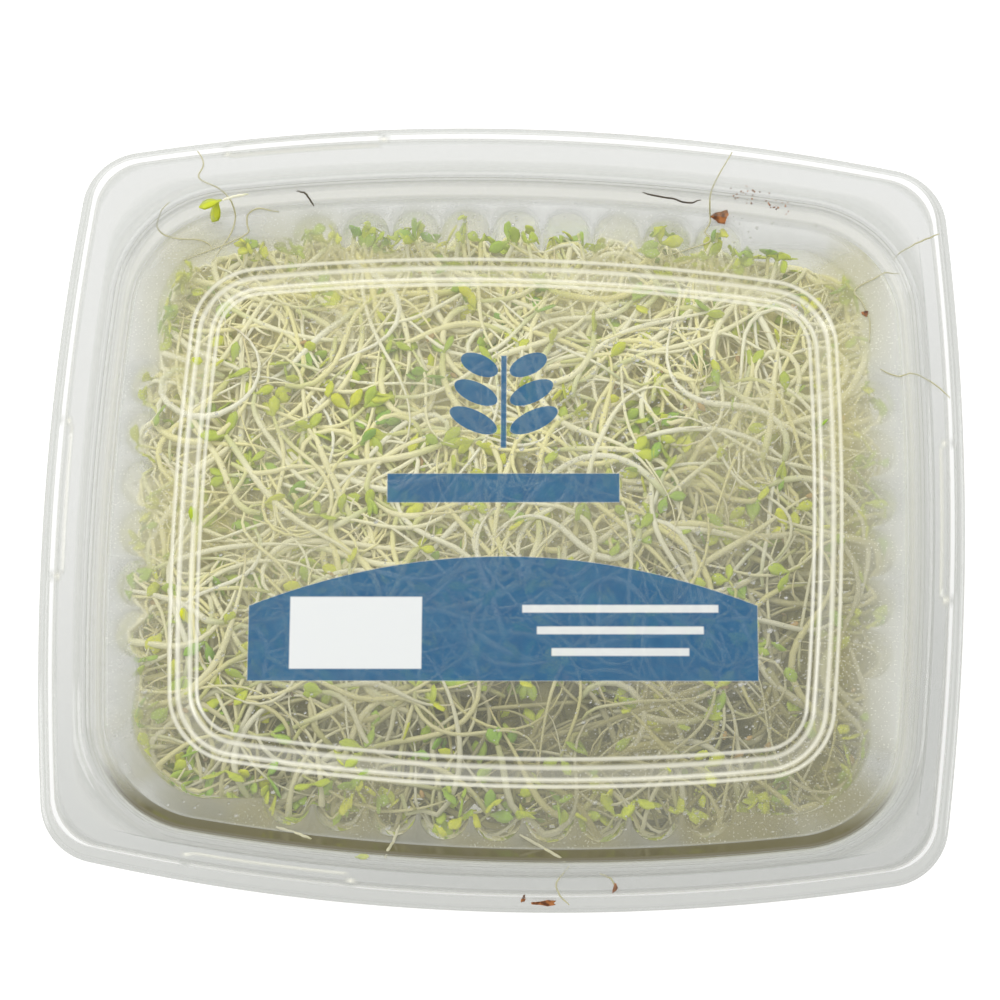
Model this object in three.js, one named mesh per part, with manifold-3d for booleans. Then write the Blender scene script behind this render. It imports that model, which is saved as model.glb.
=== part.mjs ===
// A filled tub of alfalfa sprouts: a clear formed tray, its snap-on lid, a film label on the lid and
// the tangled heap of sprouts inside. Millimetres, +Z up. The origin is under the middle of the lid's
// outline, on the surface that the tray stands on, with +X along the long side and -Y at the front.
import * as THREE from 'three';
import { mergeVertices } from 'three/addons/utils/BufferGeometryUtils.js';
import Module from 'manifold-3d';

const wasm = await Module();
wasm.setup();

// Formed sheet, and the clearance between pieces that touch
const SHEET = 0.6;
const GAP = 0.3;

// Outlines, from the lid's edge inwards: half sizes across the middle, and the corner radius
const LIP = { a: 95, b: 83.2, radius: 13 };
const RIM = { a: 92.5, b: 80.7, radius: 11 };
const BEAD = { a: 85.8, b: 73.1, radius: 25.5 };
const PLUG_TOP = { a: 83.2, b: 70.9, radius: 23 };
const PLUG_FOOT = { a: 81.7, b: 68.6, radius: 22 };
const GROOVE_OUTER = { a: 68.7, b: 55.7, radius: 14.5 };
const GROOVE_INNER = { a: 63.4, b: 50.4, radius: 9.5 };
const TRAY_EDGE = { a: 91.4, b: 79.6, radius: 11 };

// Heights above the surface that the tray stands on
const LIP_Z = 51.3;
const RIM_Z = 55.8;
const BEAD_RISE = 1.2;
const PANEL_Z = 51.7;
const GROOVE_DEPTH = 1.5;
const LEDGE_Z = PANEL_Z - SHEET - GAP;
const FLANGE_Z = RIM_Z - SHEET - GAP;

// How far a bend of the sheet runs on from an outline above (out) and how far it rises or drops (by)
const GROOVE_SLOPE = 1.4;
const PLUG_BEND = { out: 0.6, by: 0.2 };
const LID_BEAD = { innerFoot: -1.8, innerTop: -0.7, outerTop: 1, outerFoot: 1.9, topDrop: 0.2 };
const RIM_BEND = { out: 0.5, by: 0.4 };
const LIP_BEND = { out: 0.9, by: 0.2 };
const COLLAR_ROOM = 1.1;
const LEDGE_WIDTH = 0.6;
const TRAY_BEAD = { innerFoot: -1, innerTop: -0.3, outerTop: 0.4, outerFoot: 1.1, rise: 0.7 };
const TRAY_EDGE_BEND = { out: 0.5, by: 1.7 };

// All four sides bulge: how far a long or a short side falls away, per square millimetre
const LONG_BOW = 0.00115;
const SHORT_BOW = 0.00088;

// The flange is wider at the back and on the left, so all that lies inside it is off centre
const OUTER_CENTRE = new THREE.Vector2(0, 0);
const INNER_CENTRE = new THREE.Vector2(0.9, -2);

// Snap lugs: long pads pressed up along the lid's rim, by where each one's middle lies on its side
const LUG = { length: 33, foot: 1.8, crown: 1, footInset: 3.9, crownInset: 3.3, rise: 0.8 };
const LUG_SIDES = [
  { long: true, sign: 1, at: -44.4 },
  { long: true, sign: -1, at: -44.4 },
  { long: false, sign: -1, at: -1.5 },
  { long: false, sign: 1, at: -1.5 },
];

// Tray wall: half-round flutes on the four sides, plain round corners, leaning in towards the base
const FLUTE_LINE = { a: 75.2, b: 62 };
const CORNER_LINE = { a: 77.2, b: 64.4, radius: 18.6 };
const FLUTE_RADIUS = 5.4;
const FLUTE_PITCH = 10.6;
const FLUTES_LONG = 9;
const FLUTES_SHORT = 6;
const WALL_LEAN = 4;
const FOOT_HEIGHT = 2.5;
const FOOT_INSET = 2;

// Film label, put on a little askew
const LABEL = { width: 112.6, depth: 84.6, corner: 9, thickness: 0.3, x: 0, y: 2.5, turn: 0.028 };

// Heap of sprouts: the rounded box that it fills, and how deep in it the core and the stems lie
const HEAP_HALF = new THREE.Vector3(73.2, 60, 24.6);
const HEAP_MIDDLE = new THREE.Vector3(INNER_CENTRE.x, INNER_CENTRE.y, 25.5);
const HEAP_SQUARENESS = 7;
const HEAP_NARROWING = 0.055;
const CORE_DEPTH = 4.5;
const CORE_LUMPS = 0.9;
const CORE_WAVES = [new THREE.Vector3(0.31, 0, 0.2), new THREE.Vector3(0.11, 0.37, 0)];
const ROOT_DEPTH = 6;
const STEM_DEPTH = { least: 1.2, most: 3.4 };
const STEM_COUNT = 70;
const STEM_SIDES = 3;
const STEM_RADIUS = 1;
const STEM_STEP = 7;
const STEM_STEPS = { least: 4, most: 6 };
const STEM_BEND = 1.4;
const STEM_SWAY = 0.9;
const STEM_RISE_SHARE = 0.25;
const LEAFY_SHARE = 0.45;
const LEAF = { length: 2.9, width: 1.6, thickness: 0.7, spread: 0.95, middle: 2.175 };
const HEAP_SEED = 20;

// Finishes
const CLEAR_SHEET = { color: 0xdfe4e2, roughness: 0.12, metalness: 0, transparent: true, opacity: 0.35 };
const BLUE_FILM = { color: 0x3d83b8, roughness: 0.3, metalness: 0 };
const PALE_SPROUT = { color: 0xd5d5a6, roughness: 0.55, metalness: 0 };

// Steps along a quarter of a plain outline, round one flute and round the end of a lug
const SHORT_STEPS = 3;
const CORNER_STEPS = 5;
const LONG_STEPS = 4;
const FLUTE_STEPS = 4;
const LUG_STEPS = 4;

// How close points are merged, and how often a place that is found step by step is worked out again
const WELD = 1e-4;
const CORNER_PASSES = 30;
const DEPTH_PASSES = 3;

const group = new THREE.Group();

function addMesh(name, geometry, finish) {
  const mesh = new THREE.Mesh(geometry, new THREE.MeshStandardMaterial(finish));
  mesh.name = name;
  group.add(mesh);
}

// A repeatable stream of numbers from 0 to 1
function numberStream(seed) {
  let state = seed;
  return () => {
    state = (state * 1664525 + 1013904223) % 4294967296;
    return state / 4294967296;
  };
}

function toSolid(geometry) {
  const bare = geometry.clone();
  bare.deleteAttribute('normal');
  bare.deleteAttribute('uv');
  const merged = mergeVertices(bare, WELD);
  return new wasm.Manifold(new wasm.Mesh({
    numProp: 3,
    vertProperties: new Float32Array(merged.attributes.position.array),
    triVerts: new Uint32Array(merged.index.array),
  }));
}

function toGeometry(solid) {
  const mesh = solid.getMesh();
  const geometry = new THREE.BufferGeometry();
  geometry.setAttribute('position', new THREE.BufferAttribute(new Float32Array(mesh.vertProperties), 3));
  geometry.setIndex(new THREE.BufferAttribute(new Uint32Array(mesh.triVerts), 1));
  geometry.computeVertexNormals();
  return geometry;
}

function grow({ a, b, radius }, by) {
  return { a: a + by, b: b + by, radius: radius + by };
}

// The centre of a corner's arc, placed so that the arc runs smoothly into both bulging sides
function cornerCentre({ a, b, radius }) {
  const centre = new THREE.Vector2(a - radius, b - radius);
  for (let pass = 0; pass < CORNER_PASSES; pass += 1) {
    const x = a - SHORT_BOW * centre.y ** 2 - radius * Math.hypot(1, 2 * SHORT_BOW * centre.y);
    const y = b - LONG_BOW * centre.x ** 2 - radius * Math.hypot(1, 2 * LONG_BOW * centre.x);
    centre.set(x, y);
  }
  return centre;
}

// A corner's arc, from the short side round to the long side
function cornerArc(size) {
  const centre = cornerCentre(size);
  const start = Math.atan(2 * SHORT_BOW * centre.y);
  const end = Math.PI / 2 - Math.atan(2 * LONG_BOW * centre.x);
  const arc = [];
  for (let i = 0; i <= CORNER_STEPS; i += 1) {
    const angle = THREE.MathUtils.lerp(start, end, i / CORNER_STEPS);
    arc.push(new THREE.Vector2(Math.cos(angle), Math.sin(angle)).multiplyScalar(size.radius).add(centre));
  }
  return arc;
}

// Mirrors a quarter, listed from the +X axis to the +Y axis, to the whole outline
function mirrorQuarter(quarter, middle) {
  const backwards = [...quarter].reverse();
  const flip = (points, x, y) => points.map((p) => new THREE.Vector2(p.x * x + middle.x, p.y * y + middle.y));
  return [...flip(quarter, 1, 1), ...flip(backwards, -1, 1), ...flip(quarter, -1, -1), ...flip(backwards, 1, -1)];
}

// A bulging rectangle with round corners, with no point on either axis
function plainOutline(size, middle) {
  const arc = cornerArc(size);
  const quarter = [];
  for (let i = 0; i < SHORT_STEPS; i += 1) {
    const y = (arc[0].y * (i + 0.5)) / (SHORT_STEPS + 0.5);
    quarter.push(new THREE.Vector2(size.a - SHORT_BOW * y * y, y));
  }
  quarter.push(...arc);
  for (let i = LONG_STEPS - 1; i >= 0; i -= 1) {
    const x = (arc[CORNER_STEPS].x * (i + 0.5)) / (LONG_STEPS + 0.5);
    quarter.push(new THREE.Vector2(x, size.b - LONG_BOW * x * x));
  }
  return mirrorQuarter(quarter, middle);
}

// Half a row of flutes, from the middle of a side to its end, as distances along and out.
// Neighbours share the sharp edge between them, and narrower flutes leave a short flat there.
function fluteRow(count, pitch, radius, bow) {
  const halfWidth = Math.min(radius, pitch / 2);
  const reach = Math.asin(halfWidth / radius);
  const row = [];
  for (let i = 0; i < count; i += 1) {
    const middle = (i - (count - 1) / 2) * pitch;
    const slope = Math.atan(2 * bow * middle);
    const first = halfWidth < radius ? 1 : 0;
    for (let step = first; step <= FLUTE_STEPS; step += 1) {
      const angle = reach * ((2 * step) / FLUTE_STEPS - 1) + slope;
      const along = middle + radius * Math.sin(angle);
      if (along > 0.01) {
        row.push({ along, out: radius * Math.cos(angle) - bow * middle * middle });
      }
    }
  }
  return row;
}

// The tray's wall seen from above, moved in by `inset` all round. A negative `skin` gives its inner face.
function flutedOutline(inset, skin) {
  const line = { a: FLUTE_LINE.a - inset, b: FLUTE_LINE.b - inset };
  const scale = line.a / FLUTE_LINE.a;
  const radius = FLUTE_RADIUS * scale + skin;
  const shortRow = fluteRow(FLUTES_SHORT, FLUTE_PITCH * scale, radius, SHORT_BOW);
  const longRow = fluteRow(FLUTES_LONG, FLUTE_PITCH * scale, radius, LONG_BOW);
  const quarter = [
    ...shortRow.map((p) => new THREE.Vector2(line.a + p.out, p.along)),
    ...cornerArc(grow(CORNER_LINE, skin - inset)),
    ...longRow.reverse().map((p) => new THREE.Vector2(p.along, line.b + p.out)),
  ];
  return mirrorQuarter(quarter, INNER_CENTRE);
}

// A solid through a row of outlines with equal numbers of points, the lowest or innermost first
function loft(rings) {
  const count = rings[0].points.length;
  const positions = rings.flatMap((ring) => ring.points.flatMap((p) => [p.x, p.y, ring.z]));
  const index = [];
  for (let level = 0; level < rings.length - 1; level += 1) {
    for (let i = 0; i < count; i += 1) {
      const j = (i + 1) % count;
      const low = level * count;
      const high = low + count;
      index.push(low + i, low + j, high + j);
      index.push(low + i, high + j, high + i);
    }
  }
  const last = (rings.length - 1) * count;
  for (const [p, q, r] of THREE.ShapeUtils.triangulateShape(rings[0].points, [])) {
    index.push(r, q, p);
  }
  for (const [p, q, r] of THREE.ShapeUtils.triangulateShape(rings[rings.length - 1].points, [])) {
    index.push(last + p, last + q, last + r);
  }
  const geometry = new THREE.BufferGeometry();
  geometry.setAttribute('position', new THREE.Float32BufferAttribute(positions, 3));
  geometry.setIndex(index);
  return geometry;
}

// The direction through a formed sheet between two stations of its profile, towards its underside
function sheetNormal(from, to) {
  const outwards = (to.size.a - from.size.a + to.size.b - from.size.b) / 2;
  return new THREE.Vector2(to.z - from.z, -outwards).normalize();
}

// A formed sheet from its upper face's stations, listed from the middle outwards. The lower face
// keeps the sheet's thickness from it, and the two meet at the outer edge.
function formedSheet(stations) {
  const lower = stations.map((station, i) => {
    const before = i > 0 ? sheetNormal(stations[i - 1], station) : new THREE.Vector2(0, -1);
    const after = i < stations.length - 1 ? sheetNormal(station, stations[i + 1]) : before;
    const shift = before.clone().add(after).multiplyScalar(SHEET / (1 + before.dot(after)));
    return { size: grow(station.size, shift.x), z: station.z + shift.y, middle: station.middle };
  });
  const rings = [...lower, ...[...stations].reverse()];
  return loft(rings.map(({ size, z, middle }) => ({ points: plainOutline(size, middle), z })));
}

const outer = (size, z) => ({ size, z, middle: OUTER_CENTRE });
const inner = (size, z) => ({ size, z, middle: INNER_CENTRE });

// Lid, from the middle outwards: panel, groove, plateau, plug wall, bead, flange, skirt and lip
function lidStations() {
  const grooveZ = PANEL_Z - GROOVE_DEPTH;
  const beadZ = RIM_Z + BEAD_RISE;
  return [
    inner(GROOVE_INNER, PANEL_Z),
    inner(grow(GROOVE_INNER, GROOVE_SLOPE), grooveZ),
    inner(grow(GROOVE_OUTER, -GROOVE_SLOPE), grooveZ),
    inner(GROOVE_OUTER, PANEL_Z),
    inner(grow(PLUG_FOOT, -PLUG_BEND.out), PANEL_Z),
    inner(PLUG_FOOT, PANEL_Z + PLUG_BEND.by),
    inner(PLUG_TOP, RIM_Z - PLUG_BEND.by),
    inner(grow(BEAD, LID_BEAD.innerFoot), RIM_Z),
    inner(grow(BEAD, LID_BEAD.innerTop), beadZ - LID_BEAD.topDrop),
    inner(BEAD, beadZ),
    inner(grow(BEAD, LID_BEAD.outerTop), beadZ - LID_BEAD.topDrop),
    inner(grow(BEAD, LID_BEAD.outerFoot), RIM_Z),
    outer(RIM, RIM_Z),
    outer(grow(RIM, RIM_BEND.out), RIM_Z - RIM_BEND.by),
    outer(grow(LIP, -LIP_BEND.out), LIP_Z + LIP_BEND.by),
    outer(LIP, LIP_Z),
  ];
}

// A lug's outline: a long pad with round ends that bends with its side of the lid
function lugOutline({ long, sign, at }, inset, halfDepth) {
  const bow = long ? LONG_BOW : SHORT_BOW;
  const edge = (long ? LIP.b : LIP.a) - inset;
  const straight = LUG.length / 2 - LUG.foot;
  const points = [];
  const place = (along, out) => {
    const across = sign * (edge - bow * along * along + out);
    points.push(long ? new THREE.Vector2(along, across) : new THREE.Vector2(across, along));
  };
  for (const end of [1, -1]) {
    for (let step = 0; step <= LUG_STEPS; step += 1) {
      const angle = (Math.PI * step) / LUG_STEPS;
      place(at + end * (straight + halfDepth * Math.sin(angle)), end * halfDepth * Math.cos(angle));
    }
    place(at, -end * halfDepth);
  }
  return THREE.ShapeUtils.isClockWise(points) ? points.reverse() : points;
}

function lugSolid(side, skin, low, high) {
  return toSolid(loft([
    { points: lugOutline(side, LUG.footInset, LUG.foot + skin), z: low },
    { points: lugOutline(side, LUG.crownInset, LUG.crown + skin), z: high },
  ]));
}

function makeLid() {
  let lid = toSolid(formedSheet(lidStations()));
  for (const side of LUG_SIDES) {
    lid = lid.add(lugSolid(side, 0, RIM_Z - SHEET / 2, RIM_Z + LUG.rise));
    lid = lid.subtract(lugSolid(side, -SHEET, RIM_Z - 2 * SHEET, RIM_Z + LUG.rise - SHEET));
  }
  return lid;
}

// Tray, from the middle outwards: ledge, collar, low bead, flange and turned-down edge
function trayStations() {
  return [
    inner(grow(PLUG_FOOT, COLLAR_ROOM - LEDGE_WIDTH), LEDGE_Z),
    inner(grow(PLUG_FOOT, COLLAR_ROOM), LEDGE_Z + PLUG_BEND.by),
    inner(grow(PLUG_TOP, COLLAR_ROOM), FLANGE_Z - PLUG_BEND.by),
    inner(grow(BEAD, TRAY_BEAD.innerFoot), FLANGE_Z),
    inner(grow(BEAD, TRAY_BEAD.innerTop), FLANGE_Z + TRAY_BEAD.rise),
    inner(grow(BEAD, TRAY_BEAD.outerTop), FLANGE_Z + TRAY_BEAD.rise),
    inner(grow(BEAD, TRAY_BEAD.outerFoot), FLANGE_Z),
    outer(TRAY_EDGE, FLANGE_Z),
    outer(grow(TRAY_EDGE, TRAY_EDGE_BEND.out), FLANGE_Z - TRAY_EDGE_BEND.by),
  ];
}

// The cup's outer form or, with a negative skin, the space inside it
function cupSolid(skin, low, high) {
  return toSolid(loft([
    { points: flutedOutline(WALL_LEAN + FOOT_INSET, skin), z: low },
    { points: flutedOutline(WALL_LEAN, skin), z: low + FOOT_HEIGHT },
    { points: flutedOutline(0, skin), z: high },
  ]));
}

// The fluted cup hangs from the ledge, and its mouth opens through it
function makeTray() {
  const ledge = toSolid(formedSheet(trayStations()));
  const cup = cupSolid(0, 0, LEDGE_Z - SHEET / 2);
  const space = cupSolid(-SHEET, SHEET, LEDGE_Z + SHEET);
  return ledge.add(cup).subtract(space);
}

// Label: a rounded rectangle of film on the lid's panel
function makeLabel() {
  const { width, depth, corner, thickness } = LABEL;
  const x = width / 2 - corner;
  const y = depth / 2 - corner;
  const shape = new THREE.Shape();
  shape.absarc(x, y, corner, 0, Math.PI / 2, false);
  shape.absarc(-x, y, corner, Math.PI / 2, Math.PI, false);
  shape.absarc(-x, -y, corner, Math.PI, Math.PI * 1.5, false);
  shape.absarc(x, -y, corner, Math.PI * 1.5, Math.PI * 2, false);
  const geometry = new THREE.ExtrudeGeometry(shape, { depth: thickness, bevelEnabled: false, curveSegments: 6 });
  geometry.rotateZ(LABEL.turn);
  geometry.translate(LABEL.x, LABEL.y, PANEL_Z + GAP);
  return geometry;
}

// Where a point lies in the heap: 0 in its middle and 1 on the rounded box that holds it, which
// narrows towards the base as the tray does
function heapLevel(point) {
  const from = point.clone().sub(HEAP_MIDDLE);
  const narrowing = 1 - HEAP_NARROWING * (1 - point.z / LEDGE_Z);
  const sum = Math.abs(from.x / (HEAP_HALF.x * narrowing)) ** HEAP_SQUARENESS
    + Math.abs(from.y / (HEAP_HALF.y * narrowing)) ** HEAP_SQUARENESS
    + Math.abs(from.z / HEAP_HALF.z) ** HEAP_SQUARENESS;
  return sum ** (1 / HEAP_SQUARENESS);
}

// How the level grows at a point, per millimetre along each axis. It points straight out of the heap.
function heapSlope(point) {
  const step = 0.5;
  const slope = ['x', 'y', 'z'].map((axis) => {
    const ahead = point.clone();
    const behind = point.clone();
    ahead[axis] += step;
    behind[axis] -= step;
    return (heapLevel(ahead) - heapLevel(behind)) / (2 * step);
  });
  return new THREE.Vector3(...slope);
}

// The point moved towards or away from the heap's middle, to a depth below the heap's face
function toDepth(point, depth) {
  const moved = point.clone();
  for (let pass = 0; pass < DEPTH_PASSES; pass += 1) {
    const level = 1 - depth * heapSlope(moved).length();
    const scale = level / heapLevel(moved);
    moved.sub(HEAP_MIDDLE).multiplyScalar(scale).add(HEAP_MIDDLE);
  }
  return moved;
}

// The matted middle of the heap, a lumpy closed body
function heapCore() {
  const geometry = new THREE.IcosahedronGeometry(1, 4);
  const position = geometry.attributes.position;
  for (let i = 0; i < position.count; i += 1) {
    const start = new THREE.Vector3().fromBufferAttribute(position, i).multiply(HEAP_HALF).add(HEAP_MIDDLE);
    const lumps = Math.sin(start.dot(CORE_WAVES[0])) * Math.sin(start.dot(CORE_WAVES[1]));
    const placed = toDepth(start, CORE_DEPTH + CORE_LUMPS * lumps);
    position.setXYZ(i, placed.x, placed.y, placed.z);
  }
  return toSolid(geometry);
}

// A random place on the heap, even over its top, sides and underside
function randomPlace(random) {
  const faces = [
    { share: HEAP_HALF.x * HEAP_HALF.y, flat: 'z' },
    { share: HEAP_HALF.x * HEAP_HALF.z, flat: 'y' },
    { share: HEAP_HALF.y * HEAP_HALF.z, flat: 'x' },
  ];
  let pick = random() * faces.reduce((sum, face) => sum + face.share, 0);
  const face = faces.find(({ share }) => {
    pick -= share;
    return pick <= 0;
  });
  const place = new THREE.Vector3(random() * 2 - 1, random() * 2 - 1, random() * 2 - 1);
  place[face.flat] = random() < 0.5 ? -1 : 1;
  return place.multiply(HEAP_HALF).add(HEAP_MIDDLE);
}

// A stem's path: it leaves the core and winds over the heap. A leafy one ends free, others dip back.
function stemPath(random, leafy) {
  const steps = STEM_STEPS.least + Math.floor(random() * (STEM_STEPS.most - STEM_STEPS.least + 1));
  const bend = (random() - 0.5) * STEM_BEND;
  const topDepth = THREE.MathUtils.lerp(STEM_DEPTH.least, STEM_DEPTH.most, random());
  let place = toDepth(randomPlace(random), topDepth);
  let normal = heapSlope(place).normalize();
  let heading = new THREE.Vector3(random() - 0.5, random() - 0.5, random() - 0.5).projectOnPlane(normal).normalize();
  const path = [];
  for (let i = 0; i <= steps; i += 1) {
    const along = i / steps;
    const rise = Math.min(1, along / STEM_RISE_SHARE, leafy ? 1 : (1 - along) / STEM_RISE_SHARE);
    path.push(toDepth(place, THREE.MathUtils.lerp(ROOT_DEPTH, topDepth, rise)));
    heading.applyAxisAngle(normal, bend + (random() - 0.5) * STEM_SWAY);
    place = place.clone().addScaledVector(heading, STEM_STEP);
    normal = heapSlope(place).normalize();
    heading = heading.projectOnPlane(normal).normalize();
  }
  return path;
}

function stemSolid(path) {
  const shape = new THREE.Shape();
  for (let i = 0; i < STEM_SIDES; i += 1) {
    const angle = (2 * Math.PI * i) / STEM_SIDES;
    shape[i === 0 ? 'moveTo' : 'lineTo'](STEM_RADIUS * Math.cos(angle), STEM_RADIUS * Math.sin(angle));
  }
  shape.closePath();
  const curve = new THREE.CatmullRomCurve3(path);
  return toSolid(new THREE.ExtrudeGeometry(shape, { steps: path.length - 1, extrudePath: curve }));
}

// A seed leaf: a small plump oval, long along `heading` and flat across `normal`
function leafSolid(foot, heading, normal) {
  const geometry = new THREE.IcosahedronGeometry(1, 0);
  const across = normal.clone().cross(heading).normalize();
  const middle = foot.clone().addScaledVector(heading, LEAF.middle);
  const frame = new THREE.Matrix4().makeBasis(
    heading.clone().multiplyScalar(LEAF.length),
    across.multiplyScalar(LEAF.width),
    normal.clone().multiplyScalar(LEAF.thickness),
  );
  geometry.applyMatrix4(frame.setPosition(middle));
  return toSolid(geometry);
}

// The two seed leaves at a stem's tip, spread to either side of its heading
function leafPair(path) {
  const [before, tip] = path.slice(-2);
  const normal = heapSlope(tip).normalize();
  const heading = tip.clone().sub(before).projectOnPlane(normal).normalize();
  return [LEAF.spread, -LEAF.spread].map((turn) => {
    return leafSolid(tip, heading.clone().applyAxisAngle(normal, turn), normal);
  });
}

// The heap as one body, without any scrap or sealed hollow that the joining leaves
function makeSprouts() {
  const random = numberStream(HEAP_SEED);
  const pieces = [heapCore()];
  for (let i = 0; i < STEM_COUNT; i += 1) {
    const leafy = random() < LEAFY_SHARE;
    const path = stemPath(random, leafy);
    pieces.push(stemSolid(path));
    if (leafy) {
      pieces.push(...leafPair(path));
    }
  }
  const bodies = wasm.Manifold.union(pieces).decompose();
  bodies.sort((one, other) => other.volume() - one.volume());
  return bodies[0];
}

addMesh('tray', toGeometry(makeTray()), CLEAR_SHEET);
addMesh('sprouts', toGeometry(makeSprouts()), PALE_SPROUT);
addMesh('lid', toGeometry(makeLid()), CLEAR_SHEET);
addMesh('label', makeLabel(), BLUE_FILM);

export default group;
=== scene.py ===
import math

import bpy
import numpy as np
from mathutils import Matrix, Vector


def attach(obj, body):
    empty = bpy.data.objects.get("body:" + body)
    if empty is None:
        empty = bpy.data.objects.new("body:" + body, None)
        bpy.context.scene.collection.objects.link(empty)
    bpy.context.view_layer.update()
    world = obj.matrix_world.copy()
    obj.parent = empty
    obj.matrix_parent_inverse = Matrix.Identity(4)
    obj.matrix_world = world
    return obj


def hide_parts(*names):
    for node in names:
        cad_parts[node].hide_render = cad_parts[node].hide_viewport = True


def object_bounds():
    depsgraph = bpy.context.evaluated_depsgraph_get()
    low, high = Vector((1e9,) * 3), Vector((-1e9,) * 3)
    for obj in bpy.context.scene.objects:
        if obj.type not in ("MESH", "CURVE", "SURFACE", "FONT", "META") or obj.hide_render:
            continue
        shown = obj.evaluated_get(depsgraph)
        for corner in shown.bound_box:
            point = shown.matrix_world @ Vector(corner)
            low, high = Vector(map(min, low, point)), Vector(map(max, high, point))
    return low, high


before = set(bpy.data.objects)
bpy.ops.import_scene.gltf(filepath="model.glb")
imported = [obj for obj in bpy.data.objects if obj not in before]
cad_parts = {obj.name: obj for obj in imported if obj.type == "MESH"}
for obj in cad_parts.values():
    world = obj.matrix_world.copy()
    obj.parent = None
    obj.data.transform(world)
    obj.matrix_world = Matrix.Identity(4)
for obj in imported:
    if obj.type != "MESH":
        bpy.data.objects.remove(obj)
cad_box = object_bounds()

# Camera: it looks down on the tub from a little in front of it, as the photographer did, with a long
# lens. The tilts are those that lay the lid's outline over the picture's.
LENS_MM = 108
LIP_HEIGHT = 0.0513
CAMERA_DISTANCE = 0.61907
CAMERA_TILTS = {"X": -14.226, "Y": -1.239, "Z": -1.893}
PICTURE_CENTRE = Vector((0.00060, -0.00157, 0))

tilt = Matrix.Identity(3)
for axis, degrees in CAMERA_TILTS.items():
    tilt = tilt @ Matrix.Rotation(math.radians(degrees), 3, axis)
camera_data = bpy.data.cameras.new("camera")
camera_data.lens = LENS_MM
camera_data.sensor_width = 36


def put_in_scene(name, data):
    thing = bpy.data.objects.new(name, data)
    bpy.context.collection.objects.link(thing)
    return thing


camera = put_in_scene("camera", camera_data)
camera_place = tilt.inverted() @ (Vector((0, 0, CAMERA_DISTANCE)) - PICTURE_CENTRE)
camera.matrix_world = Matrix.Translation(camera_place + Vector((0, 0, LIP_HEIGHT))) @ tilt.inverted().to_4x4()
bpy.context.scene.camera = camera


# Floor and lamps: a wide sheet of white paper under broad, soft studio lamps. Its finish is the first
# one made, so the two classes that make every finish stand here.
class Wire:
    """A node's output. Arithmetic on it adds the Math nodes that it stands for."""

    def __init__(self, finish, socket):
        self.finish = finish
        self.socket = socket

    def math(self, operation, *others):
        return self.finish.node("ShaderNodeMath", {"operation": operation}, dict(enumerate((self, *others))))

    def __add__(self, other):
        return self.math("ADD", other)

    def __sub__(self, other):
        return self.math("SUBTRACT", other)

    def __rsub__(self, other):
        return self.math("MULTIPLY_ADD", -1, other)

    def __mul__(self, other):
        return self.math("MULTIPLY", other)

    def __pow__(self, other):
        return self.math("POWER", other)

    __radd__ = __add__
    __rmul__ = __mul__

    def between(self, low, high):
        """0 below low, 1 above high, and a smooth rise from one to the other."""
        limits = {"Value": self, "From Min": low, "From Max": high}
        return self.finish.node("ShaderNodeMapRange", {"interpolation_type": "SMOOTHSTEP"}, limits)


class Finish:
    """One surface finish. It gives a material's nodes and their outputs."""

    def __init__(self, name):
        self.material = bpy.data.materials.new(name)
        self.material.use_nodes = True
        self.tree = self.material.node_tree
        self.tree.nodes.clear()
        self.place = self.node("ShaderNodeTexCoord", {}, {}, "Object")

    def node(self, kind, settings, inputs, output=0):
        node = self.tree.nodes.new(kind)
        for setting, value in settings.items():
            setattr(node, setting, value)
        for name, value in inputs.items():
            if isinstance(value, Wire):
                self.tree.links.new(value.socket, node.inputs[name])
            else:
                node.inputs[name].default_value = value
        return Wire(self, node.outputs[output])

    def axes(self):
        """Where a point lies along X, Y and Z, in metres."""
        split = self.node("ShaderNodeSeparateXYZ", {}, {0: self.place}).socket.node
        return [Wire(self, socket) for socket in split.outputs]

    def value(self, attribute):
        """What the mesh holds under this name, from point to point."""
        return self.node("ShaderNodeAttribute", {"attribute_name": attribute}, {}, "Fac")

    def noise(self, scale, detail=2.0, stretch=(1, 1, 1)):
        place = self.node("ShaderNodeVectorMath", {"operation": "MULTIPLY"}, {0: self.place, 1: stretch})
        return self.node("ShaderNodeTexNoise", {}, {"Vector": place, "Scale": scale, "Detail": detail})

    def mix(self, factor, first, second):
        """Two colours mixed."""
        return self.node("ShaderNodeMix", {"data_type": "RGBA"}, {0: factor, 6: first, 7: second}, 2)

    def bump(self, height, distance, strength=1.0):
        return self.node("ShaderNodeBump", {}, {"Height": height, "Distance": distance, "Strength": strength})

    def shade(self, inputs):
        shader = self.node("ShaderNodeBsdfPrincipled", {}, inputs)
        output = self.tree.nodes.new("ShaderNodeOutputMaterial")
        self.tree.links.new(shader.socket, output.inputs["Surface"])
        return self.material


def colour(red, green, blue):
    """A picture colour, 0 to 255, as the light that a shader takes."""
    return tuple((part / 255) ** 2.2 for part in (red, green, blue)) + (1.0,)


paper = Finish("paper")
paper_tone = paper.mix(paper.noise(40), colour(130, 130, 128), colour(136, 136, 134))
paper_finish = paper.shade({
    "Base Color": paper_tone,
    "Roughness": 0.9,
    "Specular IOR Level": 0.1,
    "Emission Color": colour(255, 255, 255),
    "Emission Strength": 0.93,
})
FLOOR_GAP = 0.0002
bpy.ops.mesh.primitive_plane_add(size=6)
floor = bpy.context.object
floor.name = "floor"
floor.location.z = cad_box[0].z - FLOOR_GAP
floor.data.materials.append(paper_finish)

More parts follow.
